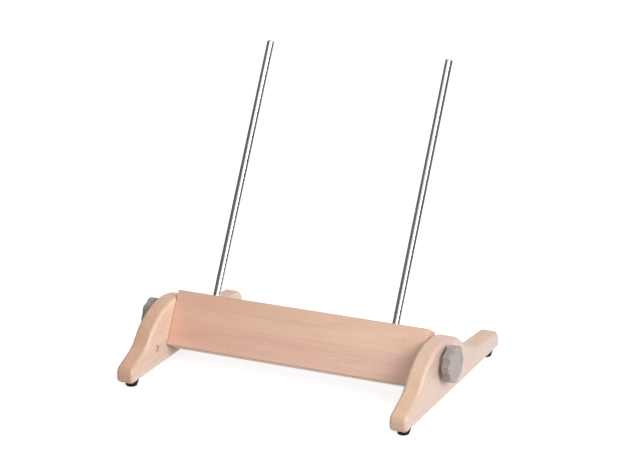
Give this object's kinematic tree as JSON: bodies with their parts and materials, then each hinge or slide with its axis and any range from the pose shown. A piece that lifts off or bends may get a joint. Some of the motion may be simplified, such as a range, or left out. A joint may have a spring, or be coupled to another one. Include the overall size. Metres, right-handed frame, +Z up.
{
  "type": "lazy kate",
  "caption": "Tilting bobbin stand: bow-shaped timber legs, a board clamped between them by hand knobs, and upright steel rods for bobbins.",
  "frame": {"origin": "on the table, under the middle of the whole part's box, with the board leaning back as stored", "axes": "+X across the stand from the left leg to the right leg, +Y from front to back, +Z up"},
  "size_m": [0.3626, 0.2634, 0.3264],
  "materials": {
    "leg_timber": "sanded pale beech with a thin clear satin finish",
    "board_timber": "sanded pale beech with a thin clear satin finish",
    "rod_steel": "drawn and polished bright steel",
    "knob_plastic": "moulded warm grey plastic, fine matte texture",
    "zinc_steel": "bright zinc plating",
    "insert_brass": "plain machined brass",
    "foot_rubber": "black moulded rubber"
  },
  "bodies": {
    "stand": {"left_leg": "leg_timber", "right_leg": "leg_timber", "front_left_foot": "foot_rubber", "front_right_foot": "foot_rubber", "rear_left_foot": "foot_rubber", "rear_right_foot": "foot_rubber", "front_left_screw": "zinc_steel", "front_right_screw": "zinc_steel", "rear_left_screw": "zinc_steel", "rear_right_screw": "zinc_steel"},
    "board": {"tilting_board": "board_timber", "left_rod": "rod_steel", "right_rod": "rod_steel", "left_insert": "insert_brass", "right_insert": "insert_brass"},
    "left_washer": {"left_washer": "zinc_steel"},
    "right_washer": {"right_washer": "zinc_steel"},
    "left_knob": {"left_knob": "knob_plastic", "left_stud": "zinc_steel"},
    "right_knob": {"right_knob": "knob_plastic", "right_stud": "zinc_steel"}
  },
  "joints": [
    {"name": "board_tilt", "type": "hinge", "parent": "stand", "child": "board", "pos_m": [0, -0.03168, 0.047], "axis": [1, 0, 0], "range_deg": [-60, 120]},
    {"name": "left_washer_slide", "type": "slide", "parent": "board", "child": "left_washer", "axis": [-1, 0, 0], "range_m": [0, 0.0025]},
    {"name": "right_washer_slide", "type": "slide", "parent": "board", "child": "right_washer", "axis": [1, 0, 0], "range_m": [0, 0.0025]},
    {"name": "left_knob_turn", "type": "hinge", "parent": "left_washer", "child": "left_knob", "pos_m": [-0.171, -0.03168, 0.047], "axis": [-1, 0, 0], "range_deg": [0, 720]},
    {"name": "right_knob_turn", "type": "hinge", "parent": "right_washer", "child": "right_knob", "pos_m": [0.171, -0.03168, 0.047], "axis": [1, 0, 0], "range_deg": [0, 720]}
  ],
  "couplings": [
    {"joint": "left_knob_turn", "follows": "left_washer_slide", "rad_per_m": 5026.5},
    {"joint": "right_knob_turn", "follows": "right_washer_slide", "rad_per_m": 5026.5}
  ]
}
